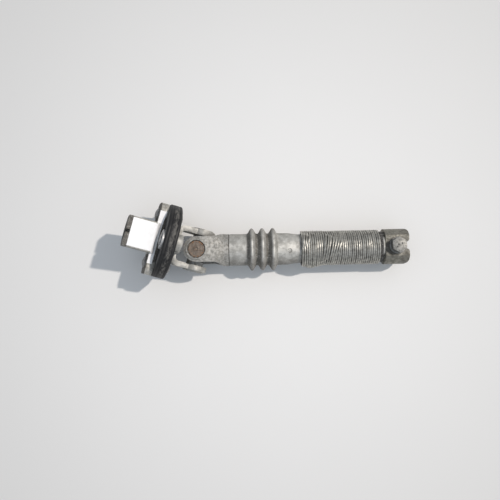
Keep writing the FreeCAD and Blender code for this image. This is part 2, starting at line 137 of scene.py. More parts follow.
@dataclass(frozen=True)
class Lie:
    """The two frames of the shaft as it lies."""

    shaft: LocalFrame
    coupling: LocalFrame

    @classmethod
    def read(cls, frame: dict) -> Lie:
        """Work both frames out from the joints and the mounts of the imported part.


        Returns:
            The two frames.
        """
        joints = {joint["name"]: joint for joint in frame["joints"]}
        mounts = {mount["name"]: mount for mount in frame["record"]["mounts"]}
        centre = Vector(joints["shaft_pivot"]["pos_m"])
        along_shaft = Vector(mounts["shaft_socket"]["axis"])
        to_disc = -Vector(mounts["hub_bore"]["axis"])
        trunnions = Vector(joints["disc_pivot"]["axis"])
        return cls(LocalFrame(centre, along_shaft, Vector(joints["shaft_pivot"]["axis"])),
                   LocalFrame(centre, to_disc, to_disc.cross(trunnions)))

    def of(self, body: Body) -> LocalFrame:
        """Give the frame in which a body was drawn."""
        return self.shaft if body is Body.SHAFT else self.coupling


class Value:
    """An output socket that is reckoned with like a number: each step adds a node to its graph."""

    def __init__(self, graph: Graph, socket: bpy.types.NodeSocket) -> None:
        """Keep the socket and its graph."""
        self.graph, self.socket = graph, socket

    def __add__(self, other: Number) -> Value:
        """Add another value."""
        return self.graph.math("ADD", self, other)

    def __sub__(self, other: Number) -> Value:
        """Take another value away."""
        return self.graph.math("SUBTRACT", self, other)

    def __rsub__(self, other: float) -> Value:
        """Take this value away from a number."""
        return self.graph.math("SUBTRACT", other, self)

    def __mul__(self, other: Number) -> Value:
        """Multiply by another value."""
        return self.graph.math("MULTIPLY", self, other)

    def __mod__(self, other: float) -> Value:
        """Give what a division by a number leaves."""
        return self.graph.math("MODULO", self, other)

    def __or__(self, other: Number) -> Value:
        """Give the larger of two values, which joins two masks."""
        return self.graph.math("MAXIMUM", self, other)

    def __abs__(self) -> Value:
        """Give the value without its sign."""
        return self.graph.math("ABSOLUTE", self)

    def ramp(self, low: Number, high: Number, start: float = 0.0, end: float = 1.0) -> Value:
        """Map the value smoothly: start at and before low, end at and after high."""
        return self.graph.value("ShaderNodeMapRange", dict(enumerate((self, low, high, start, end))),
                                interpolation_type="SMOOTHSTEP")


Number = Value | float


class Graph:
    """A node tree under construction, with short calls for the nodes that the finishes use."""

    def __init__(self, tree: bpy.types.NodeTree) -> None:
        """Keep the tree."""
        self.tree = tree

    def feed(self, socket: bpy.types.NodeSocket, value: object) -> None:
        """Link a socket to a value, or set it.

        Args:
            socket: The input.
            value: A value, or a number, a vector or a colour.
        """
        if isinstance(value, Value):
            self.tree.links.new(value.socket, socket)
        else:
            socket.default_value = value

    def node(self, kind: str, feeds: dict | None = None, **settings: object) -> bpy.types.Node:
        """Add a node, set its properties and feed its inputs.

        Args:
            kind: Blender's name of the node type.
            feeds: What each input takes, by its name or number.
            settings: The node's properties.

        Returns:
            The new node.
        """
        made = self.tree.nodes.new(kind)
        for name, value in settings.items():
            setattr(made, name, value)
        for name, value in (feeds or {}).items():
            self.feed(made.inputs[name], value)
        return made

    def value(self, kind: str, feeds: dict | None = None, output: int | str = 0, **settings: object) -> Value:
        """Add a node as above and give one of its outputs."""
        return Value(self, self.node(kind, feeds, **settings).outputs[output])

    def math(self, operation: str, first: Number, second: Number = 0.0) -> Value:
        """Do one of Blender's operations on two values."""
        return self.value("ShaderNodeMath", {0: first, 1: second}, operation=operation)

    def mix(self, share: Number, first: object, second: object) -> Value:
        """Mix two colours, with so large a share of the second."""
        return self.value("ShaderNodeMix", {0: share, MIX_FIRST: first, MIX_SECOND: second}, MIX_COLOUR,
                          data_type="RGBA")

    def distance(self, place: Value, centre: Sequence[float]) -> Value:
        """Give how far a place is from a centre."""
        return self.value("ShaderNodeVectorMath", {0: place, 1: centre}, "Value", operation="DISTANCE")

    def noise(self, place: Value, scale: Number, detail: float = 4.0, roughness: float = 0.55) -> Value:
        """Add a noise, about a half on average, with lumps per unit, finer layers and their strength."""
        return self.value("ShaderNodeTexNoise",
                          {"Vector": place, "Scale": scale, "Detail": detail, "Roughness": roughness})


class SharedGroups:
    """The shader groups that more than one finish uses, each built at its first use."""

    @staticmethod
    def start(name: str, inputs: dict[str, str],
              outputs: dict[str, str]) -> tuple[Graph, dict[str, Value], dict]:
        """Make an empty group with named sockets.

        Args:
            name: The group's name.
            inputs: The kind of each input socket by name.
            outputs: The kind of each output socket by name.

        Returns:
            The graph, what the group is given and the sockets that it has to feed, by name.
        """
        tree = bpy.data.node_groups.new(name, "ShaderNodeTree")
        for sockets, way in ((inputs, "INPUT"), (outputs, "OUTPUT")):
            for socket, kind in sockets.items():
                tree.interface.new_socket(name=socket, in_out=way, socket_type=f"NodeSocket{kind}")
        graph = Graph(tree)
        given = graph.node("NodeGroupInput").outputs
        values = {socket: Value(graph, given[socket]) for socket in inputs}
        return graph, values, graph.node("NodeGroupOutput").inputs

    @cached_property
    def weathering(self) -> bpy.types.NodeTree:
        """Build the group that clouds, stains and soils a bare metal, and lays the shade that some finishes
        paint.

        Returns:
            The group.
        """
        # Soil is the dark tone of dirt, and of the shade that some finishes paint.
        tones, measures = ("Metal", "Shade", "Stain", "Soil"), (
            "Cloud Scale", "Speck Share", "Stain Share", "Soil Mask", "Polished", "Dull", "Full Metal")
        graph, given, wanted = self.start(
            "weathering",
            {"Place": "Vector", **dict.fromkeys(tones, "Color"), **dict.fromkeys(measures, "Float")},
            {"Color": "Color", "Roughness": "Float", "Metallic": "Float"})
        place = given["Place"]
        clouds = graph.noise(place, given["Cloud Scale"], 5.0, 0.6)
        specks = graph.noise(place, 0.85, 4.0, 0.7)
        tone = (clouds * 0.7 + specks * 0.3).ramp(0.36, 0.62)
        limit = 0.74 - given["Stain Share"] * 0.34
        stained = graph.noise(place, 0.16, 6.0, 0.62).ramp(limit, limit + 0.14)
        # the soil mask carries dirt and, for some finishes, painted shade
        soiled_and_shaded = given["Soil Mask"] * graph.noise(place, 0.7, 4.0, 0.6).ramp(0.25, 0.55, 0.35, 1.0)
        colour = graph.mix(tone, given["Shade"], given["Metal"])
        colour = graph.mix(specks.ramp(0.52, 0.66) * given["Speck Share"], colour, given["Stain"])
        colour = graph.mix(stained * 0.75, colour, given["Stain"])
        covered = stained * 0.5 | soiled_and_shaded
        rough = given["Polished"] + (1.0 - tone.ramp(0.0, 1.0)) * (given["Dull"] - given["Polished"])
        graph.feed(wanted["Color"], graph.mix(soiled_and_shaded, colour, given["Soil"]))
        graph.feed(wanted["Roughness"], rough + covered * 0.22)
        graph.feed(wanted["Metallic"], given["Full Metal"] * (1.0 - covered))
        return graph.tree

    @cached_property
    def grain(self) -> bpy.types.NodeTree:
        """Build the group that gives the height of a fine grain with pits of a larger size in it.

        Returns:
            The group.
        """
        graph, given, wanted = self.start(
            "grain", {"Place": "Vector", "Grain Scale": "Float", "Pit Scale": "Float", "Pit Share": "Float"},
            {"Height": "Float"})
        fine = graph.noise(given["Place"], given["Grain Scale"], 3.0, 0.6)
        lumps = graph.noise(given["Place"], given["Pit Scale"], 2.0, 0.5)
        limit = 0.8 - given["Pit Share"] * 0.4
        graph.feed(wanted["Height"], fine * 0.5 + lumps * 0.5 - lumps.ramp(limit, limit + 0.1) * 0.6)
        return graph.tree


GROUPS = SharedGroups()


class Spot:
    """The shaded point in local millimetres of a sub-assembly, and the measures of it that masks use."""

    def __init__(self, graph: Graph, frame: LocalFrame) -> None:
        """Bring the point into the sub-assembly's frame and split it.

        Args:
            graph: The material's graph.
            frame: The sub-assembly's frame.
        """
        back = frame.turn().transposed()
        self.graph = graph
        self.place = graph.value("ShaderNodeMapping", {
            "Vector": graph.value("ShaderNodeTexCoord", output="Object"),
            "Location": -(back @ frame.origin) / MM,
            "Rotation": back.to_euler("XYZ"), "Scale": (1 / MM,) * 3})
        parts = graph.node("ShaderNodeSeparateXYZ", {0: self.place}).outputs
        self.x, self.y, self.z = (Value(graph, part) for part in parts)

    def off_x(self) -> Value:
        """Give the distance from the local X axis."""
        return self.graph.math("SQRT", self.y * self.y + self.z * self.z)

    def off_z(self) -> Value:
        """Give the distance from the local Z axis."""
        return self.graph.math("SQRT", self.x * self.x + self.y * self.y)

    def near(self, centre: Sequence[float], radius: float, edge: float) -> Value:
        """Give 1 within a radius of a point, falling to 0 over an edge."""
        return self.graph.distance(self.place, centre).ramp(radius, radius + edge, 1.0, 0.0)


Mask = Callable[[Spot], Value]


@dataclass(frozen=True)
class Grain:
    """A fine grain with pits of a larger size in it."""

    scale: float = 3.0
    pit_scale: float = 1.2
    pit_share: float = 0.3
    bump: float = 0.25
    relief: float = 0.12

    def normal(self, graph: Graph, place: Value) -> Value:
        """Give the normal that the grain makes.

        Args:
            graph: The material's graph.
            place: The place that the grain follows.

        Returns:
            The normal.
        """
        height = graph.value("ShaderNodeGroup", {
            "Place": place, "Grain Scale": self.scale, "Pit Scale": self.pit_scale,
            "Pit Share": self.pit_share}, node_tree=GROUPS.grain)
        return graph.value("ShaderNodeBump", {
            "Strength": self.bump, "Distance": self.relief * MM, "Height": height})


class Finish:
    """What steels and mouldings share: each has a name, a slot, a grain and a draw, and says how it looks."""

    def build(self, frame: LocalFrame) -> bpy.types.Material:
        """Make the material in the frame of the piece that wears it.

        Args:
            frame: The sub-assembly's frame.

        Returns:
            The material.
        """
        material = bpy.data.materials.new(self.name)
        material.use_nodes = True
        graph = Graph(material.node_tree)
        spot = Spot(graph, frame)
        drawn = graph.value("ShaderNodeMapping", {"Vector": spot.place, "Scale": self.draw})
        shader = material.node_tree.nodes["Principled BSDF"]
        for name, value in {**self.looks(spot, drawn), "Normal": self.grain.normal(graph, drawn)}.items():
            graph.feed(shader.inputs[name], value)
        return material


@dataclass(frozen=True)
class Steel(Finish):
    """A bare or plated steel: its tones, how it is clouded and stained, and how rough it is."""

    name: str
    slot: Slot
    metal: Colour = grey(0.50)
    shade: Colour = grey(0.30)
    stain: Colour = (0.20, 0.155, 0.11, 1.0)
    # soil: the dark tone for dirt, and for the shade that some finishes paint
    soil: Colour = (0.055, 0.05, 0.042, 1.0)
    cloud_scale: float = 0.35
    speck_share: float = 0.2
    stain_share: float = 0.3
    polished: float = 0.5
    dull: float = 0.62
    full_metal: float = 0.9
    grain: Grain = Grain()
    # where the soil tone lies: dirt, and painted shade for some finishes
    soil_and_shade_mask: Mask | None = None
    rust_mask: Mask | None = None
    draw: tuple[float, float, float] = (1.0, 1.0, 1.0)

    def looks(self, spot: Spot, drawn: Value) -> dict[str, Value]:
        """Weather the metal.

        Args:
            spot: The shaded point.
            drawn: The point as the patterns are drawn out.

        Returns:
            The shader's inputs by name.
        """
        worn = spot.graph.node("ShaderNodeGroup", {
            "Place": drawn, "Metal": self.metal, "Shade": self.shade, "Stain": self.stain, "Soil": self.soil,
            "Cloud Scale": self.cloud_scale, "Speck Share": self.speck_share,
            "Stain Share": self.rust_mask(spot) if self.rust_mask else self.stain_share,
            "Soil Mask": self.soil_and_shade_mask(spot) if self.soil_and_shade_mask else 0.0,
            "Polished": self.polished, "Dull": self.dull, "Full Metal": self.full_metal},
            node_tree=GROUPS.weathering)
        return {name: Value(spot.graph, socket)
                for name, socket in zip(("Base Color", "Roughness", "Metallic"), worn.outputs)}


@dataclass(frozen=True)
class Moulding(Finish):
    """A rubber or paper: one tone, a second tone for dust and wear, which on the disc's rim is also a painted
    sheen, and a fine relief.
    """

    name: str
    slot: Slot
    colour: Colour
    dust_and_sheen: Colour
    low: float
    high: float
    specular: float = 0.35
    grain: Grain = Grain(2.5, 0.9, 0.2, 0.3, 0.15)
    dust_and_sheen_mask: Mask | None = None
    draw: tuple[float, float, float] = (1.0, 1.0, 1.0)

    def looks(self, spot: Spot, drawn: Value) -> dict[str, Number]:
        """Lay dust, and on the disc's rim a painted sheen, on the tone.

        Args:
            spot: The shaded point.
            drawn: The point as the patterns are drawn out.

        Returns:
            The shader's inputs by name.
        """
        patches = spot.graph.noise(drawn, 0.3, 5.0, 0.65).ramp(0.4, 0.65)
        share = patches * (self.dust_and_sheen_mask(spot) if self.dust_and_sheen_mask else 0.6)
        return {"Base Color": spot.graph.mix(share, self.colour, self.dust_and_sheen),
                "Roughness": share.ramp(0.0, 1.0, self.low, self.high), "Specular IOR Level": self.specular}


class Bench:
    """The mesh operators, used on one piece at a time with nothing else selected."""

    @staticmethod
    def clear() -> None:
        """Leave edit mode and deselect everything."""
        if bpy.context.object and bpy.context.object.mode != "OBJECT":
            bpy.ops.object.mode_set(mode="OBJECT")
        bpy.ops.object.select_all(action="DESELECT")

    @staticmethod
    def hold(*pieces: bpy.types.Object) -> None:
        """Select some pieces and nothing else.

        Args:
            pieces: The pieces; the first becomes the active one.
        """
        Bench.clear()
        for piece in pieces:
            piece.select_set(True)
        bpy.context.view_layer.objects.active = pieces[0]

    @staticmethod
    def take_up(name: str) -> bpy.types.Object:
        """Apply the place and size of the newest piece, and name it.

        Args:
            name: Its name.

        Returns:
            The piece.
        """
        piece = bpy.context.object
        bpy.ops.object.transform_apply(location=True, rotation=True, scale=True)
        piece.name = piece.data.name = name
        return piece

    @staticmethod
    @contextmanager
    def editing(piece: bpy.types.Object) -> Iterator[None]:
        """Work on a piece in edit mode, with all of it selected at the start.

        Args:
            piece: The piece.
        """
        Bench.hold(piece)
        bpy.ops.object.mode_set(mode="EDIT")
        bpy.ops.mesh.select_mode(type="VERT")
        bpy.ops.mesh.select_all(action="SELECT")
        yield
        bpy.ops.object.mode_set(mode="OBJECT")

    @staticmethod
    def pick(kind: str, test: Callable[[Vector, Vector], bool]) -> None:
        """Select what passes a test on the piece in edit mode.

        Args:
            kind: FACE or EDGE.
            test: It takes a face's normal and middle, or the places of an edge's two ends.
        """
        bpy.ops.mesh.select_mode(type=kind)
        bpy.ops.mesh.select_all(action="DESELECT")
        mesh = bmesh.from_edit_mesh(bpy.context.object.data)
        for face in mesh.faces if kind == "FACE" else ():
            face.select_set(test(face.normal, face.calc_center_median()))
        for edge in mesh.edges if kind == "EDGE" else ():
            edge.select_set(test(edge.verts[0].co, edge.verts[1].co))
        bmesh.update_edit_mesh(bpy.context.object.data)

    @staticmethod
    def pick_rings(*places: float) -> None:
        """Select the edges that lie in planes across X."""
        Bench.pick("EDGE", lambda a, b: any(max(abs(a.x - at), abs(b.x - at)) < TOUCH for at in places))

    @staticmethod
    def step_in(steps: Sequence[tuple[float, float]]) -> None:
        """Inset the picked face again and again.

        Args:
            steps: Each inset's width, with the move along X that follows it.
        """
        for width, move in steps:
            bpy.ops.mesh.inset(thickness=width)
            if move:
                bpy.ops.transform.translate(value=(move, 0, 0))

    @staticmethod
    def cut(place: Sequence[float], normal: Sequence[float], **settings: bool) -> None:
        """Cut all of the piece in edit mode along a plane."""
        bpy.ops.mesh.select_all(action="SELECT")
        bpy.ops.mesh.bisect(plane_co=place, plane_no=normal, **settings)

    @staticmethod
    def modify(piece: bpy.types.Object, kind: str, **settings: object) -> None:
        """Add a modifier to a piece, set it and apply it.

        Args:
            piece: The piece.
            kind: Blender's name of the modifier type.
            settings: The modifier's properties.
        """
        Bench.hold(piece)
        modifier = piece.modifiers.new(kind.lower(), kind)
        for name, value in settings.items():
            setattr(modifier, name, value)
        bpy.ops.object.modifier_apply(modifier=modifier.name)

    @staticmethod
    def cylinder(name: str, radius: float, start: float, end: float, sides: int) -> bpy.types.Object:
        """Add a cylinder along X in local millimetres.

        Args:
            name: The piece's name.
            radius: Its radius.
            start: Where it starts on X.
            end: Where it ends on X.
            sides: The number of its sides.

        Returns:
            The piece.
        """
        Bench.clear()
        bpy.ops.mesh.primitive_cylinder_add(vertices=sides, radius=radius, depth=end - start,
                                            location=((start + end) / 2, 0, 0), rotation=(0, QUARTER, 0))
        return Bench.take_up(name)

    @staticmethod
    def circle(name: str, radius: float, place: float, sides: int) -> bpy.types.Object:
        """Add a circle round X in local millimetres.

        Args:
            name: The piece's name.
            radius: Its radius.
            place: Where it is on X.
            sides: The number of its sides.

        Returns:
            The piece.
        """
        Bench.clear()
        bpy.ops.mesh.primitive_circle_add(vertices=sides, radius=radius, location=(place, 0, 0),
                                          rotation=(0, QUARTER, 0))
        return Bench.take_up(name)

    @staticmethod
    def lathe(name: str, outline: Sequence[tuple[float, float]], sides: int) -> bpy.types.Object:
        """Turn a closed outline round X: a circle is extruded and scaled from point to point.

        Args:
            name: The piece's name.
            outline: Places along X with their radii; the last joins the first.
            sides: The number of its sides.

        Returns:
            The piece.
        """
        place, radius = outline[0]
        piece = Bench.circle(name, radius, place, sides)
        with Bench.editing(piece):
            for next_place, next_radius in [*outline[1:], outline[0]]:
                bpy.ops.mesh.extrude_edges_move(TRANSFORM_OT_translate={"value": (next_place - place, 0, 0)})
                share = next_radius / radius
                bpy.ops.transform.resize(value=(1, share, share), center_override=(next_place, 0, 0))
                place, radius = next_place, next_radius
            bpy.ops.mesh.select_all(action="SELECT")
            bpy.ops.mesh.remove_doubles(threshold=0.005)
            bpy.ops.mesh.normals_make_consistent(inside=False)
        return piece


@dataclass
class Workshop:
    """Places finished pieces on the part and reports them."""

    frame: dict
    lie: Lie
    materials: dict[str, bpy.types.Material] = field(default_factory=dict)

    def wear(self, finish: Finish, frame: LocalFrame) -> bpy.types.Material:
        """Give a finish's material, built at its first use.

        Args:
            finish: The finish.
            frame: The frame that its pattern follows.

        Returns:
            The material.
        """
        if finish.name not in self.materials:
            self.materials[finish.name] = finish.build(frame)
        return self.materials[finish.name]

    def dress_nodes(self, body: Body, finish: Finish, *nodes: str) -> None:
        """Give some of the part's own solids a finish, in every material slot that they have.

        Args:
            body: The body whose frame the finish's pattern follows.
            finish: The finish.
            nodes: The solids' names.
        """
        for node in nodes:
            solid = self.frame["nodes"][node]
            material = self.wear(finish, self.lie.of(body))
            if not solid.data.materials:
                solid.data.materials.append(material)
            for slot in solid.material_slots:
                slot.material = material
            LOG.info("%s wears %s", node, finish.name)

    def finish(self, piece: bpy.types.Object, body: Body, finish: Finish, *replaces: str) -> None:
        """Move a piece from local millimetres to its place, shade it and let it ride.

        Args:
            piece: The piece, in the frame of its body.
            body: The body that it moves with.
            finish: Its finish.
            replaces: The solids that it stands for.
        """
        frame = self.lie.of(body)
        Bench.hold(piece)
        piece.data.transform(frame.to_row())
        piece.data.update()
        bpy.ops.object.shade_smooth_by_angle(angle=SMOOTH_ANGLE)
        piece.data.materials.clear()
        piece.data.materials.append(self.wear(finish, frame))
        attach(piece, body.value)
        if replaces:
            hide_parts(*replaces)
        LOG.info("%s rides on %s with %d faces", piece.name, body.value, len(piece.data.polygons))

    def soften(self, body: Body, *parts: tuple[str, float, Finish]) -> None:
        """Put copies with rounded edges in the place of some solids.

        Args:
            body: The body that they move with.
            parts: Each solid's name, how far the rounding reaches from its edges, and its finish.
        """
        for node, width, finish in parts:
            piece = bpy.data.objects.new(f"{node}_worn", self.frame["nodes"][node].data.copy())
            piece.data.name = piece.name
            bpy.context.scene.collection.objects.link(piece)
            piece.data.transform(self.lie.of(body).to_row().inverted())
            with Bench.editing(piece):
                bpy.ops.mesh.remove_doubles(threshold=0.002)
                bpy.ops.mesh.dissolve_limited(angle_limit=FLAT_ANGLE)
            Bench.modify(piece, "BEVEL", width=width, segments=2, limit_method="ANGLE",
                         angle_limit=SHARP_ANGLE, use_clamp_overlap=True, miter_outer="MITER_ARC")
            self.finish(piece, body, finish, node)


@dataclass
class Piece:
    """A finer piece: its name, the body that it rides on and its finish."""

    shop: Workshop
    name: str
    body: Body
    finish: Finish

    def hand_over(self, mesh: bpy.types.Object, *replaces: str) -> None:
        """Let the workshop place and finish the mesh, in the place of some solids."""
        self.shop.finish(mesh, self.body, self.finish, *replaces)


@dataclass(frozen=True)
class Strands:
    """A row of strands that cross over the others on a slant."""

    first: float
    count: int
    step: float
    from_angle: float
    to_angle: float
    drift: float


@dataclass
class Winding(Piece):
    """The wire winding: turns that waver, loose first turns, a dent and strands that cross over others."""

    seat: float = 14.52
    start: float = 97.0
    pitch: float = 1.992
    turns: int = 38
    wire: float = 1.9
    steps: int = 48
    bulge_turn: float = 4.6
    bulge_spread: float = 3.4
    bulge: float = 2.3
    lift: float = 0.4
    dent_turn: float = 12.6
    dent_spread: float = 1.5
    dent_angle: float = math.radians(112)
    dent: float = 0.9
    parting: float = 1.5
    slant_turn: float = 14.5
    slant_spread: float = 5.0
    slant: float = 1.6
    crossings: tuple[Strands, ...] = (Strands(98.8, 3, 2.1, 96, 28, 2.6),
                                      Strands(116.5, 7, 2.4, 150, 40, 4.4))
    seed: int = 4

    def place(self, turn: float, waver: Callable[[float], float]) -> Vector:
        """Give the middle of the wire at a number of turns from its start.

        Args:
            turn: The number of turns.
            waver: A smooth random value by turns.

        Returns:
            The point in the shaft's frame.
        """
        angle = 2 * math.pi * turn
        down = 0.5 - 0.5 * math.cos(angle)
        bulged = math.exp(-((turn - self.bulge_turn) / self.bulge_spread) ** 2)
        loose = 1 / (1 + math.exp((turn - 2.2 * self.bulge_turn) * 1.8))
        slanted = self.slant * math.exp(-((turn - self.slant_turn) / self.slant_spread) ** 2)
        from_dent = turn - self.dent_turn
        at_dent = math.exp(-(from_dent / self.dent_spread) ** 2)
        at_dent *= max(0.0, math.cos(angle - self.dent_angle)) ** 6
        radius = self.seat + self.wire / 2 + loose * self.lift + bulged * self.bulge * down ** 3
        radius += 0.06 * waver(turn * 2.3 + 40) - self.dent * at_dent
        along = self.start + self.wire / 2 + turn * self.pitch * (self.turns - 1) / self.turns
        along += slanted * math.cos(angle - 0.9) + (0.2 + 0.3 * loose) * waver(turn * 3.1)
        along += self.parting * from_dent / self.dent_spread * at_dent
        return Vector((along, radius * math.cos(angle), radius * math.sin(angle)))

    def strand(self, row: Strands, number: int, chance: random.Random) -> list[Vector]:
        """Give a strand that rises out of the layer, runs over it on a slant and dives in again.

        Args:
            row: The row of strands.
            number: The strand's number in the row.
            chance: The random numbers.

        Returns:
            The strand's points in the shaft's frame.
        """
        first = row.first + number * row.step + chance.uniform(-0.4, 0.4)
        from_angle = math.radians(row.from_angle - 6 * number)
        to_angle = math.radians(row.to_angle + 5 * number)
        points = []
        for step in range(25):
            share = step / 24
            angle = from_angle + (to_angle - from_angle) * share
            radius = self.seat + self.wire * (0.45 + 0.85 * math.sin(math.pi * share) ** 0.5)
            along = first + row.drift * share
            points.append(Vector((along, radius * math.cos(angle), radius * math.sin(angle))))
        return points

    def build(self) -> None:
        """Bend the wire and lay it round the sleeve."""
        chance = random.Random(self.seed)
        phases = [chance.uniform(0, 2 * math.pi) for _ in range(4)]

        def waver(at: float) -> float:
            """Give a smooth value between -1 and 1 that doesn't repeat with the turns."""
            return sum(math.sin(at * rate + phase) for rate, phase in zip((0.83, 1.71, 2.9, 4.3), phases)) / 4

        runs = [[self.place(step / self.steps, waver) for step in range(self.turns * self.steps + 1)]]
        runs += [self.strand(row, number, chance) for row in self.crossings for number in range(row.count)]
        curve = bpy.data.curves.new(self.name, "CURVE")
        curve.dimensions, curve.bevel_depth, curve.bevel_resolution = "3D", self.wire / 2 * 0.96, 2
        curve.use_fill_caps = True
        for points in runs:
            spline = curve.splines.new("POLY")
            spline.points.add(len(points) - 1)
            for knot, point in zip(spline.points, points):
                knot.co = (*point, 1.0)
        piece = bpy.data.objects.new(self.name, curve)
        bpy.context.scene.collection.objects.link(piece)
        Bench.hold(piece)
        bpy.ops.object.convert(target="MESH")
        self.hand_over(bpy.context.object, "wire_winding")


@dataclass
class BellowsTube(Piece):
    """The tube with its folds."""

    radius: float = 15.0
    wall: float = 1.8
    start: float = 29.65
    end: float = 124.0
    folds: int = 3
    crest: float = 20.1
    arc: float = 1.7
    taper_start: float = 84.0
    taper_end: float = 97.0
    end_radius: float = 13.4
    arc_steps: int = 6

    def folded(self) -> list[tuple[float, float]]:
        """Work out the folds: crest and root arcs with straight flanks between them.

        Returns:
            Their outline, as places along X with their radii.
        """
        half, arcs = FOLD_PITCH / 2, 2 * self.arc
        drop = self.crest - self.radius - arcs
        steepest = math.atan2(drop, half) + math.asin(arcs / math.hypot(half, drop))
        turns = [steepest * step / self.arc_steps for step in range(self.arc_steps + 1)]
        points = []
        for fold in range(self.folds):
            middle = FIRST_CREST + fold * FOLD_PITCH
            rising = [(self.arc * math.sin(turn) - half, self.arc * (1 - math.cos(turn)) + self.radius)
                      for turn in turns]
            rising += [(-self.arc * math.sin(turn), self.crest - self.arc * (1 - math.cos(turn)))
                       for turn in reversed(turns)]
            falling = [(-along, out) for along, out in reversed(rising)][1:]
            points += [(middle + along, out) for along, out in (rising + falling)[1 if fold else 0:]]
        return points

    def build(self) -> None:
        """Turn the tube, with a rounded start, its folds and a tapered end."""
        inner, inner_end = self.radius - self.wall, self.end_radius - self.wall
        self.hand_over(Bench.lathe(self.name, [
            (self.start, self.radius - 0.55), (self.start + 0.45, self.radius - 0.04),
            (self.start + 0.9, self.radius),
            *self.folded(),
            (self.taper_start - 2, self.radius), (self.taper_start + 1, self.radius - 0.12),
            (self.taper_end - 1, self.end_radius + 0.12), (self.taper_end + 1, self.end_radius),
            (self.end, self.end_radius), (self.end, inner_end),
            (self.taper_end, inner_end), (self.taper_start, inner), (self.start, inner)], 112), "shaft_tube")


@dataclass
class PinEnd(Piece):
    """The round end of the locking pin, staked flush in the tube."""

    radius: float = 1.9
    seat: float = 14.8
    turn: float = math.radians(11)
    steps: tuple[tuple[float, float], ...] = ((0.3, 0), (0.08, -0.45), (0.3, 0), (0.1, 0.4))

    def build(self) -> None:
        """Groove the pin's end and turn it to its place on the tube."""
        pin = Bench.cylinder(self.name, self.radius, -1.2, 0.06, 32)
        with Bench.editing(pin):
            Bench.pick("FACE", lambda normal, middle: normal.x > 0.9)
            Bench.step_in(self.steps)
        seat = Matrix.Translation((PIN_MIDDLE[0], 0, self.seat)) @ Matrix.Rotation(-QUARTER, 4, "Y")
        pin.data.transform(Matrix.Rotation(self.turn, 4, "X") @ seat)
        self.hand_over(pin)


@dataclass
class CouplingDisc(Piece):
    """The rubber disc: round with four flats, moulded plies on its rim and a hole at each fastening."""

    radius: float = 36.0
    flat: float = 34.3
    near: float = 26.0
    thickness: float = 12.0
    edge: float = 2.0
    bore: float = 9.0
    hole: float = 6.5
    hole_circle: float = 23.0
    plies: tuple[float, ...] = (3.3, 8.9)
    ply_depth: float = 0.35

    def build(self) -> None:
        """Cut the disc out of a round blank and round its edges."""
        start, end = -self.near - self.thickness, -self.near
        plies = [start + ply for ply in self.plies]
        shrink = 1 - self.ply_depth / self.radius
        disc = Bench.cylinder(self.name, self.radius, start, end, 144)
        with Bench.editing(disc):
            for side in ((0, 1, 0), (0, -1, 0), (0, 0, 1), (0, 0, -1)):
                Bench.cut(Vector(side) * self.flat, side, use_fill=True, clear_outer=True)
            for ply in plies:
                Bench.cut((ply, 0, 0), (1, 0, 0))
            Bench.pick_rings(*plies)
            bpy.ops.mesh.bevel(offset=0.5, segments=2)
            for ply in plies:
                Bench.pick_rings(ply)
                bpy.ops.transform.resize(value=(1, shrink, shrink), center_override=(ply, 0, 0))
            Bench.pick_rings(start, end)
            bpy.ops.mesh.bevel(offset=self.edge, segments=5)
        turns = [quarter * QUARTER for quarter in range(4)]
        holes = [(0.0, 0.0, self.bore)]
        holes += [(self.hole_circle * math.cos(turn), self.hole_circle * math.sin(turn), self.hole)
                  for turn in turns]
        for y, z, radius in holes:
            cutter = Bench.cylinder("cutter", radius, start - 1, end + 1, 64)
            cutter.data.transform(Matrix.Translation((0, y, z)))
            Bench.modify(disc, "BOOLEAN", operation="DIFFERENCE", solver="EXACT", object=cutter)
            bpy.data.objects.remove(cutter)
        self.hand_over(disc, "rubber_disc")


@dataclass
class Label(Piece):
    """The blank sticker: over the top of the hub, down its step and along the rim of the cross bar."""

    hub_end: float = -67.2
    step: float = -45.5
    rim_end: float = -39.4
    hub_top: float = 18.6
    rim_top: float = 13.0
    hub_half: float = 13.9
    rim_from: float = -23.6
    rim_to: float = 26.0
    lift: float = 0.08
    paper: float = 0.14
    droop: float = 1.2
    droop_width: float = 1.6
    fall_middle: float = 2.6
    fall_rate: float = 1.3
    short: float = 1.3

    def height(self, along: float, across: float) -> float:
        """Give the height of the sticker's underside over the hub and the bar.

        Args:
            along: The place on the coupling's axis.
            across: The place across it.

        Returns:
            The height above the axis.
        """
        down = 1 / (1 + math.exp(-(along - self.step - self.fall_middle) * self.fall_rate))
        height = self.hub_top + (self.rim_top - self.hub_top) * down
        past = max(0.0, abs(across) - self.hub_half + self.droop_width) / self.droop_width
        return height - (1 - down) * self.droop * past ** 2 + self.lift

    def build(self) -> None:
        """Cut the sheet, lay it on the hub and give it its thickness."""
        Bench.clear()
        middle = (self.rim_end + self.hub_end) / 2, (self.rim_from + self.rim_to) / 2, 0
        bpy.ops.mesh.primitive_grid_add(x_subdivisions=72, y_subdivisions=100, size=1, location=middle)
        bpy.context.object.scale = (self.rim_end - self.hub_end, self.rim_to - self.rim_from, 1)
        sheet = Bench.take_up(self.name)
        with Bench.editing(sheet):
            Bench.pick("FACE", lambda normal, middle: (
                abs(middle.y) > self.hub_half and middle.x < self.step + 0.5))
            bpy.ops.mesh.delete(type="FACE")
        for vertex in sheet.data.vertices:
            beside = abs(vertex.co.y) > self.hub_half + 0.6
            vertex.co.z = self.rim_top + self.lift if beside else self.height(vertex.co.x, vertex.co.y)
            share = max(0.0, (vertex.co.x - self.step) / (self.rim_end - self.step))
            vertex.co.x += self.short * share * (1.4 * max(0.0, vertex.co.y / self.rim_to) ** 2 - 1)
        Bench.modify(sheet, "SOLIDIFY", thickness=self.paper, offset=1.0)
        self.hand_over(sheet)


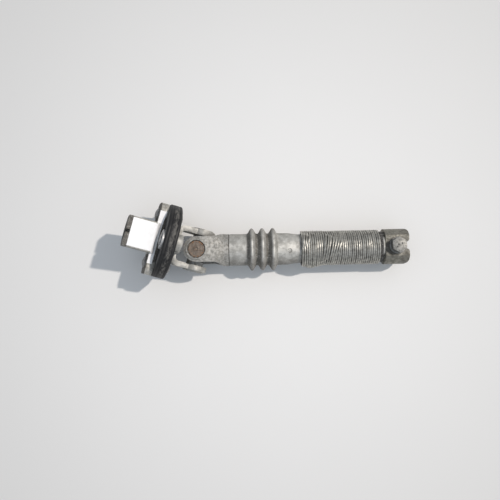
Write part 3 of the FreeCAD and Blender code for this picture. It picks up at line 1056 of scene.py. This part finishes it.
@dataclass
class Splines(Piece):
    """A ring of teeth in a bore, parted where a slot or a bolt passes."""

    radius: float
    depth: float
    teeth: int
    start: float
    end: float
    slot_half: float
    slot_end: float
    slot_low: float

    def build(self) -> None:
        """Form the teeth from a ring whose sides are drawn in by pairs."""
        ring = Bench.circle(self.name, self.radius - 0.05, self.start, self.teeth * 4)
        order = sorted(ring.data.vertices, key=lambda vertex: math.atan2(vertex.co.z, vertex.co.y))
        share = 1 - self.depth / self.radius
        for number, vertex in enumerate(order):
            if number % 4 < 2:
                vertex.co.y, vertex.co.z = vertex.co.y * share, vertex.co.z * share
        with Bench.editing(ring):
            bpy.ops.mesh.extrude_edges_move(TRANSFORM_OT_translate={"value": (self.end - self.start, 0, 0)})
            for place in (self.slot_half, -self.slot_half):
                Bench.cut((0, place, 0), (0, 1, 0))
            Bench.cut((self.slot_end, 0, 0), (1, 0, 0))
            Bench.pick("FACE", self.in_slot)
            bpy.ops.mesh.delete(type="FACE")
            bpy.ops.mesh.select_all(action="SELECT")
            bpy.ops.mesh.normals_make_consistent(inside=True)
        Bench.modify(ring, "SOLIDIFY", thickness=0.4, offset=-1.0)
        self.hand_over(ring)

    def in_slot(self, _: Vector, middle: Vector) -> bool:
        """Tell whether a face lies where the slot passes: beyond its end and above its lowest point."""
        beyond = (middle.x - self.slot_end) * math.copysign(1, self.slot_end) > 0
        return beyond and abs(middle.y) < self.slot_half and middle.z > self.slot_low


@dataclass
class CupFace(Piece):
    """The closed end of a bearing cup: a rounded rim, a shallow ring and a dimple in its middle."""

    way: Vector
    radius: float = 8.0
    bore: float = 7.05
    mouth: float = 10.5
    face: float = 19.7
    floor: float = 1.6
    steps: tuple[tuple[float, float], ...] = (
        (1.1, 0), (0.35, -0.28), (2.9, 0), (0.5, 0.25), (0.7, 0), (0.7, -0.9))

    def build(self) -> None:
        """Draw the cup out of a round blank, and turn it to its trunnion."""
        cup = Bench.cylinder(f"{self.name}_face", self.radius, self.mouth, self.face, 72)
        with Bench.editing(cup):
            Bench.pick_rings(self.face)
            bpy.ops.mesh.bevel(offset=0.7, segments=4)
            Bench.pick("FACE", lambda normal, middle: normal.x > 0.99 and middle.x > self.face - TOUCH)
            Bench.step_in(self.steps)
            Bench.pick("FACE", lambda normal, middle: normal.x < -0.99)
            bpy.ops.mesh.inset(thickness=self.radius - self.bore)
            bpy.ops.mesh.extrude_region_move(TRANSFORM_OT_translate={
                "value": (self.face - self.floor - self.mouth, 0, 0)})
        cup.data.transform(Vector((1, 0, 0)).rotation_difference(self.way).to_matrix().to_4x4())
        self.hand_over(cup, self.name)


@dataclass
class Stakes(Piece):
    """The marks where a yoke's metal was struck over the edge of a cup."""

    way: Vector
    circle: float = 8.3
    count: int = 8
    height: float = 20.1
    size: tuple[float, float, float] = (1.5, 1.9, 2.9)

    def build(self) -> None:
        """Raise one mark, copy it round the cup and join the copies."""
        marks = []
        for number in range(self.count):
            Bench.clear()
            bpy.ops.mesh.primitive_cube_add(size=1, location=(0, 0, 0))
            bpy.context.object.scale = self.size
            mark = Bench.take_up(self.name)
            with Bench.editing(mark):
                Bench.pick("FACE", lambda normal, middle: normal.x > 0.9)
                bpy.ops.transform.resize(value=(1, 0.35, 0.55), center_override=(0.75, 0.35, 0))
            Bench.modify(mark, "BEVEL", width=0.3, segments=2, limit_method="NONE")
            turn = 2 * math.pi * (number + 0.35) / self.count
            place = Matrix.Translation((self.height, self.circle, 0))
            mark.data.transform(Matrix.Rotation(turn, 4, "X") @ place)
            marks.append(mark)
        Bench.hold(*marks)
        bpy.ops.object.join()
        piece = bpy.context.object
        piece.data.transform(Vector((1, 0, 0)).rotation_difference(self.way).to_matrix().to_4x4())
        self.hand_over(piece)


def at_joint_line(spot: Spot) -> Value:
    """Soil the line where the tube meets the yoke's neck."""
    return abs(spot.x - JOINT_LINE).ramp(0.1, 0.55, 0.9, 0.0)


def in_folds(spot: Spot) -> Value:
    """Soil the bellows' roots and the joint line; paint shade on the fold flanks that face away from the lamp
    and along the tube's sides; darken its far end.

    Args:
        spot: The shaded point.

    Returns:
        The mask.
    """
    roots = spot.off_x().ramp(15.2, 18.6, 0.8, 0.0)
    flanks = ((spot.x - FIRST_CREST + FOLD_PITCH / 2) % FOLD_PITCH).ramp(3.0, 4.6, 0.8, 0.0)
    beside = spot.x.ramp(45.0, 47.5) * spot.x.ramp(73.5, 76.0, 1.0, 0.0)
    sides = spot.y.ramp(10.0, 14.8, 0.0, 0.4) | spot.y.ramp(-14.4, -7.5, 0.62, 0.0)
    return (roots | flanks) * beside | spot.x.ramp(96.9, 97.6, 0.0, 0.5) | sides | at_joint_line(spot)


def between_turns(spot: Spot) -> Value:
    """Darken the wire deep between its turns: dirt, and painted shade in the crevices."""
    return spot.off_x().ramp(15.3, 16.3, 0.95, 0.0)


def on_rim(spot: Spot) -> Value:
    """Lay dust and a painted sheen on the middle of the disc's rim."""
    return abs(spot.x + 31.2).ramp(0.6, 3.4, 1.0, 0.06) * spot.off_x().ramp(31.0, 34.0, 0.2, 1.0)


def round_cup(spot: Spot) -> Value:
    """Soil the ring between a cup and the bore of the shaft yoke, and the yoke's joint line."""
    return abs(spot.off_z() - 7.95).ramp(0.15, 0.5, 0.85, 0.0) | at_joint_line(spot)


def by_the_head(spot: Spot) -> Value:
    """Paint the bolt head's shadow on the clamp round the bolt and behind it, and darken the clamp a little
    towards its fingers.
    """
    return spot.near((184.0, -1.6, 14.0), 7.0, 3.0) * 0.85 | spot.x.ramp(186.0, 194.0, 0.0, 0.4)


def near_bore(spot: Spot) -> Value:
    """Rust a cup's face in patches, more of them towards its rim."""
    patches = spot.graph.noise(spot.place, 0.5, 2.0).ramp(0.45, 0.6, 0.3, 1.0)
    return spot.off_z().ramp(5.0, 7.2, 0.35, 1.0) * patches


def on_edge(spot: Spot) -> Value:
    """Soil the rounded edge of a cup's face."""
    return spot.off_z().ramp(7.1, 7.6, 0.0, 0.75)


def round_pin(spot: Spot) -> Value:
    """Soil the groove round the locking pin's end."""
    return spot.near(PIN_MIDDLE, 2.0, 0.15) - spot.near(PIN_MIDDLE, 1.15, 0.25)


def on_head(spot: Spot) -> Value:
    """Leave three dark specks on the bolt's head, and paint shade on its sides."""
    first, second, third = (spot.near(at, 0.5, 0.5) for at in (
        (186.2, 0.2, 21.2), (189.6, 1.0, 21.2), (184.8, -2.2, 21.2)))
    return first | second | third | spot.z.ramp(20.3, 20.9, 0.75, 0.0)


def behind_bar(spot: Spot) -> Value:
    """Darken the rough end of the hub, paint shade on the back of the cross bar beside it and paint the
    disc's shadow on its top next to the disc.

    Args:
        spot: The shaded point.

    Returns:
        The mask.
    """
    beside = abs(spot.y)
    back = abs(spot.x + 45.6).ramp(0.5, 1.0, 0.9, 0.0) * beside.ramp(14.6, 16.0)
    front = spot.x.ramp(-41.0, -40.5) * beside.ramp(20.0, 23.0, 0.9, 0.0)
    return spot.x.ramp(-67.5, -66.3, 0.85, 0.0) | back | front


def beside_top(spot: Spot) -> Value:
    """Paint shade on the sleeve under the wire and on its bare end away from the top, which is left light as
    a painted highlight.
    """
    return spot.x.ramp(173.5, 174.5, 1.0, 0.0) | abs(spot.y).ramp(5.5, 9.0, 0.1, 1.0)


# The wire's soil mask lays dirt and painted shade deep between its turns.
WIRE = Steel("bright_wire", Slot.WIRE, grey(0.56, 0.08), grey(0.30, 0.08), soil=(0.022, 0.02, 0.018, 1.0),
             cloud_scale=0.3, stain_share=0.1, polished=0.47, dull=0.58, full_metal=0.95,
             grain=Grain(bump=0.12), soil_and_shade_mask=between_turns)
# The tube's soil mask lays dirt in the folds and paints shade on the flanks facing away from the lamp and
# along its sides.
TUBE = Steel("satin_tube", Slot.TUBE, grey(0.70, 0.05), grey(0.44, 0.06), stain=(0.24, 0.21, 0.16, 1.0),
             soil=(0.06, 0.05, 0.036, 1.0), cloud_scale=0.16, speck_share=0.3, stain_share=0.36,
             polished=0.68, dull=0.76, full_metal=1.0, grain=Grain(bump=0.16), soil_and_shade_mask=in_folds)
PIN = Steel("pin_steel", Slot.TUBE, grey(0.60, 0.06), grey(0.40, 0.07), polished=0.54, dull=0.65,
            full_metal=0.85, soil_and_shade_mask=round_pin)
FORGED = Steel("forged_zinc", Slot.FORGED, grey(0.42, 0.06), grey(0.235, 0.07), (0.17, 0.145, 0.11, 1.0),
               (0.035, 0.03, 0.024, 1.0), cloud_scale=0.45, speck_share=0.55, stain_share=0.34, polished=0.58,
               dull=0.72, full_metal=0.55, grain=Grain(1.6, 0.8, 0.5, 0.4, 0.3), soil_and_shade_mask=round_cup)
PRESSED = Steel("pressed_zinc", Slot.PRESSED, grey(0.49, 0.06), grey(0.35, 0.07), (0.33, 0.28, 0.21, 1.0),
                cloud_scale=0.2, speck_share=0.15, stain_share=0.24, polished=0.60, dull=0.70,
                full_metal=0.65, grain=Grain(bump=0.16))
# The flange's soil mask paints shade on the back of the cross bar and the disc's shadow on its top.
FLANGE = Steel("flange_casting", Slot.FLANGE, grey(0.54, 0.08), grey(0.30, 0.09), (0.17, 0.13, 0.09, 1.0),
               (0.06, 0.052, 0.044, 1.0), cloud_scale=0.3, speck_share=0.4, stain_share=0.4, polished=0.56,
               dull=0.72, full_metal=0.5, grain=Grain(1.4, 1.2, 0.5, 0.5, 0.3), soil_and_shade_mask=behind_bar)
# The clamp's soil mask paints the bolt head's shadow round the bolt.
CLAMP = Steel("clamp_olive", Slot.CLAMP, (0.30, 0.29, 0.255, 1.0), (0.165, 0.158, 0.132, 1.0),
              cloud_scale=0.3, polished=0.52, dull=0.66, full_metal=0.7, grain=Grain(bump=0.22),
              soil_and_shade_mask=by_the_head)
# The bolt's soil mask paints shade on the sides of its head.
BOLT = Steel("bolt_zinc", Slot.BOLT, grey(0.36, 0.07), grey(0.19, 0.07), grey(0.14, 0.05),
             (0.045, 0.044, 0.042, 1.0), cloud_scale=0.6, polished=0.58, dull=0.68, full_metal=0.7,
             grain=Grain(bump=0.3), soil_and_shade_mask=on_head)
WASHER = Steel("washer_zinc", Slot.WASHER, grey(0.58), grey(0.42), stain_share=0.2, polished=0.46, dull=0.58,
               full_metal=0.75)
# A dark washer under the bolt's head: grime, and the head's shadow painted into its colour.
GRIMY_SHADED = Steel("grimy_washer", Slot.WASHER, grey(0.26, 0.04), grey(0.12, 0.05), stain_share=0.5, dull=0.65,
              full_metal=0.7)
# The sleeve's soil mask paints shade under the wire and on its bare end, whose top is left light as a painted
# highlight.
SLEEVE = Steel("grimy_sleeve", Slot.TUBE, grey(0.50, 0.05), grey(0.36, 0.06), soil=(0.025, 0.024, 0.022, 1.0),
               full_metal=0.8, soil_and_shade_mask=beside_top)
RIVET = Steel("rivet_zinc", Slot.RIVET, grey(0.40), grey(0.22), stain_share=0.4)
CUP = Steel("rusty_cup", Slot.CUP, (0.23, 0.19, 0.155, 1.0), (0.13, 0.105, 0.085, 1.0),
            (0.30, 0.14, 0.055, 1.0), (0.03, 0.022, 0.016, 1.0), cloud_scale=0.45, speck_share=0.35,
            polished=0.55, dull=0.75, full_metal=0.3, grain=Grain(pit_share=0.6, bump=0.5),
            soil_and_shade_mask=on_edge, rust_mask=near_bore)
SIDE_CUP = Steel("grey_cup", Slot.CUP, grey(0.48, 0.02), grey(0.28, 0.04), stain_share=0.45, full_metal=0.75)
BEARING = Steel("bearing_steel", Slot.BEARING, grey(0.5), grey(0.36), stain_share=0.1, polished=0.34,
                dull=0.46)
SEAL = Moulding("seal_rubber", Slot.SEAL, grey(0.02), grey(0.05, 0.05), 0.5, 0.7)
# The disc's lighter second tone on the middle of its rim is dust and a painted sheen.
DISC = Moulding("disc_rubber", Slot.DISC, (0.013, 0.013, 0.014, 1.0), (0.130, 0.125, 0.115, 1.0), 0.5, 0.74,
                grain=Grain(2.5, 0.9, 0.2, 0.4, 0.25), dust_and_sheen_mask=on_rim, draw=(1.6, 0.8, 0.8))
PAPER = Moulding("label_paper", Slot.FLANGE, (0.93, 0.93, 0.94, 1.0), (0.86, 0.86, 0.85, 1.0), 0.55, 0.7, 0.3,
                 Grain(2.5, 0.9, 0.2, 0.12, 0.1))


@dataclass
class Dress:
    """Everything that rides on the part's two outer bodies."""

    shop: Workshop

    def bearings(self, joint: str, body: Body, axis: Vector, finish: Steel) -> None:
        """Dress a pair of cups with their needles and seals, and stake those of the shaft.

        Args:
            joint: What the names of the solids start with.
            body: The body that they move with.
            axis: The way to the first cup.
            finish: The cups' finish.
        """
        for number, way in ((1, axis), (2, -axis)):
            CupFace(self.shop, f"{joint}_cup_{number}", body, finish, way).build()
            if body is Body.SHAFT:
                Stakes(self.shop, f"{joint}_stakes_{number}", body, FORGED, way).build()
            self.shop.dress_nodes(body, BEARING, f"{joint}_needles_{number}")
            self.shop.dress_nodes(body, SEAL, f"{joint}_seal_{number}")

    def shaft(self) -> None:
        """Dress the shaft's solids and add its finer pieces."""
        shop, body = self.shop, Body.SHAFT
        BellowsTube(shop, "bellows_tube", body, TUBE).build()
        PinEnd(shop, "locking_pin_end", body, PIN).build()
        Winding(shop, "wound_wire", body, WIRE).build()
        shop.soften(body, ("shaft_yoke", 0.9, FORGED), ("clamp_fork", 0.5, CLAMP), ("clamp_bolt", 0.25, BOLT),
                    ("clamp_nut", 0.25, WASHER), ("head_washer", 0.2, GRIMY_SHADED), ("nut_washer", 0.2, WASHER))
        self.bearings("shaft", body, Vector((0, 0, 1)), CUP)
        Splines(shop, "socket_splines", body, CLAMP, 9.0, 0.7, 36, 178.0, 198.0, 4.3, 182.9, -100.0).build()
        shop.dress_nodes(body, SLEEVE, "winding_sleeve")
        shop.dress_nodes(body, BEARING, "cross")

    def coupling(self) -> None:
        """Dress the coupling's solids and add its finer pieces."""
        shop, body = self.shop, Body.COUPLING
        CouplingDisc(shop, "moulded_disc", body, DISC).build()
        shop.soften(body, ("input_flange", 0.8, FLANGE), ("disc_yoke", 0.8, PRESSED))
        shop.dress_nodes(body, WASHER, *(f"{kind}_{number}" for kind in ("disc_sleeve", "rivet_washer")
                                         for number in range(1, 5)))
        shop.dress_nodes(body, RIVET, *(f"{kind}_{number}" for kind in ("flange_rivet", "yoke_rivet")
                                        for number in (1, 2)))
        self.bearings("disc", body, Vector((0, 1, 0)), SIDE_CUP)
        Splines(shop, "hub_splines", body, FLANGE, 8.0, 0.6, 36, -70.3, -45.7, 1.55, -48.4, 0.0).build()
        Label(shop, "blank_label", body, PAPER).build()


@dataclass
class Studio:
    """A pale floor with a painted pool of light, a lamp from the upper right, a sky darker near the horizon
    and the camera overhead.
    """

    centre: Vector
    floor_colour: Colour = (0.80, 0.80, 0.79, 1.0)
    floor_beyond_painted_pool: Colour = (0.60, 0.60, 0.59, 1.0)
    floor_size: float = 8.0
    painted_pool_centre: tuple[float, float, float] = (0.01, -0.01, 0.0)
    painted_pool_reach: float = 0.5
    lamp_way: Vector = field(default_factory=lambda: Vector((0.72, 0.25, 1.0)).normalized())
    lamp_distance: float = 6.0
    lamp_size: float = 0.2
    lamp_power: float = 246.0
    lamp_colour: tuple[float, float, float] = (1.0, 0.92, 0.845)
    zenith: Colour = (0.575, 0.62, 0.685, 1.0)
    low_left: Colour = (0.10, 0.11, 0.12, 1.0)
    low_right: Colour = (0.42, 0.45, 0.48, 1.0)
    camera_off: Vector = field(default_factory=lambda: Vector((51.24, -47.24, 530.6)) * MM)
    camera_lean: float = math.radians(0.19)
    camera_tilt: float = math.radians(5.06)
    camera_roll: float = math.radians(1.31)
    focal_share: float = 559.4 / 500

    def build(self) -> None:
        """Set up the floor, the lamp, the world and the camera."""
        self.floor()
        self.lamp()
        self.world()
        self.camera()
        bpy.context.scene.view_settings.view_transform = "Standard"

    def floor(self) -> None:
        """Lay a large pale floor under the part, with a pool of light painted on it that dims it away from
        its middle.
        """
        Bench.clear()
        bpy.ops.mesh.primitive_plane_add(size=self.floor_size, location=(0, 0, 0))
        floor = bpy.context.object
        floor.name = "floor"
        material = bpy.data.materials.new("pale_floor")
        material.use_nodes = True
        graph = Graph(material.node_tree)
        place = graph.value("ShaderNodeTexCoord", output="Object")
        clouds = graph.noise(place, 9.0, 3.0).ramp(0.3, 0.7, 0.97, 1.0)
        # painted pool of light: the floor dims away from the pool's centre
        share = clouds * graph.distance(place, self.painted_pool_centre).ramp(0.0, self.painted_pool_reach, 1.0, 0.0)
        colour = graph.mix(share, self.floor_beyond_painted_pool, self.floor_colour)
        shader = material.node_tree.nodes["Principled BSDF"]
        for name, value in (("Base Color", colour), ("Roughness", 0.9), ("Specular IOR Level", 0.1)):
            graph.feed(shader.inputs[name], value)
        floor.data.materials.append(material)

    def lamp(self) -> None:
        """Hang the lamp towards the upper right, facing the part."""
        data = bpy.data.lights.new("lamp", "AREA")
        data.shape, data.size, data.energy = "DISK", self.lamp_size, self.lamp_power
        data.color = self.lamp_colour
        lamp = bpy.data.objects.new("lamp", data)
        lamp.location = self.centre + self.lamp_way * self.lamp_distance
        lamp.rotation_euler = self.lamp_way.to_track_quat("Z", "Y").to_euler()
        bpy.context.scene.collection.objects.link(lamp)

    def world(self) -> None:
        """Give a soft sky, bright overhead and darker towards the horizon, most of all at the upper left."""
        world = bpy.data.worlds.new("studio")
        world.use_nodes = True
        bpy.context.scene.world = world
        graph = Graph(world.node_tree)
        way = graph.value("ShaderNodeTexCoord", output="Generated")
        x, y, z = (Value(graph, part) for part in graph.node("ShaderNodeSeparateXYZ", {0: way}).outputs)
        low = graph.mix((x * 0.8 - y * 0.6).ramp(-0.6, 0.9), self.low_left, self.low_right)
        sky = graph.mix(z.ramp(0.05, 0.8), low, self.zenith)
        graph.feed(world.node_tree.nodes["Background"].inputs["Color"], sky)

    def camera(self) -> None:
        """Place the camera above the part, as the photograph was taken."""
        data = bpy.data.cameras.new("camera")
        data.lens = self.focal_share * data.sensor_width
        data.clip_start = 0.01
        camera = bpy.data.objects.new("camera", data)
        back = Vector((math.sin(self.camera_lean), -math.sin(self.camera_tilt), 1.0)).normalized()
        up = Vector((math.sin(self.camera_roll), math.cos(self.camera_roll), 0.0))
        right = up.cross(back).normalized()
        turn = Matrix((right, back.cross(right), back)).transposed().to_4x4()
        camera.matrix_world = Matrix.Translation(self.centre + self.camera_off) @ turn
        bpy.context.scene.collection.objects.link(camera)
        bpy.context.scene.camera = camera


def main() -> None:
    """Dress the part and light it."""
    logging.basicConfig(level=logging.INFO, format="%(name)s: %(message)s")
    for unused in list(bpy.data.objects):
        bpy.data.objects.remove(unused)
    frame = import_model()
    shop = Workshop(frame, Lie.read(frame))
    dress = Dress(shop)
    dress.shaft()
    dress.coupling()
    Studio(shop.lie.shaft.origin).build()


if __name__ == "__main__":
    main()
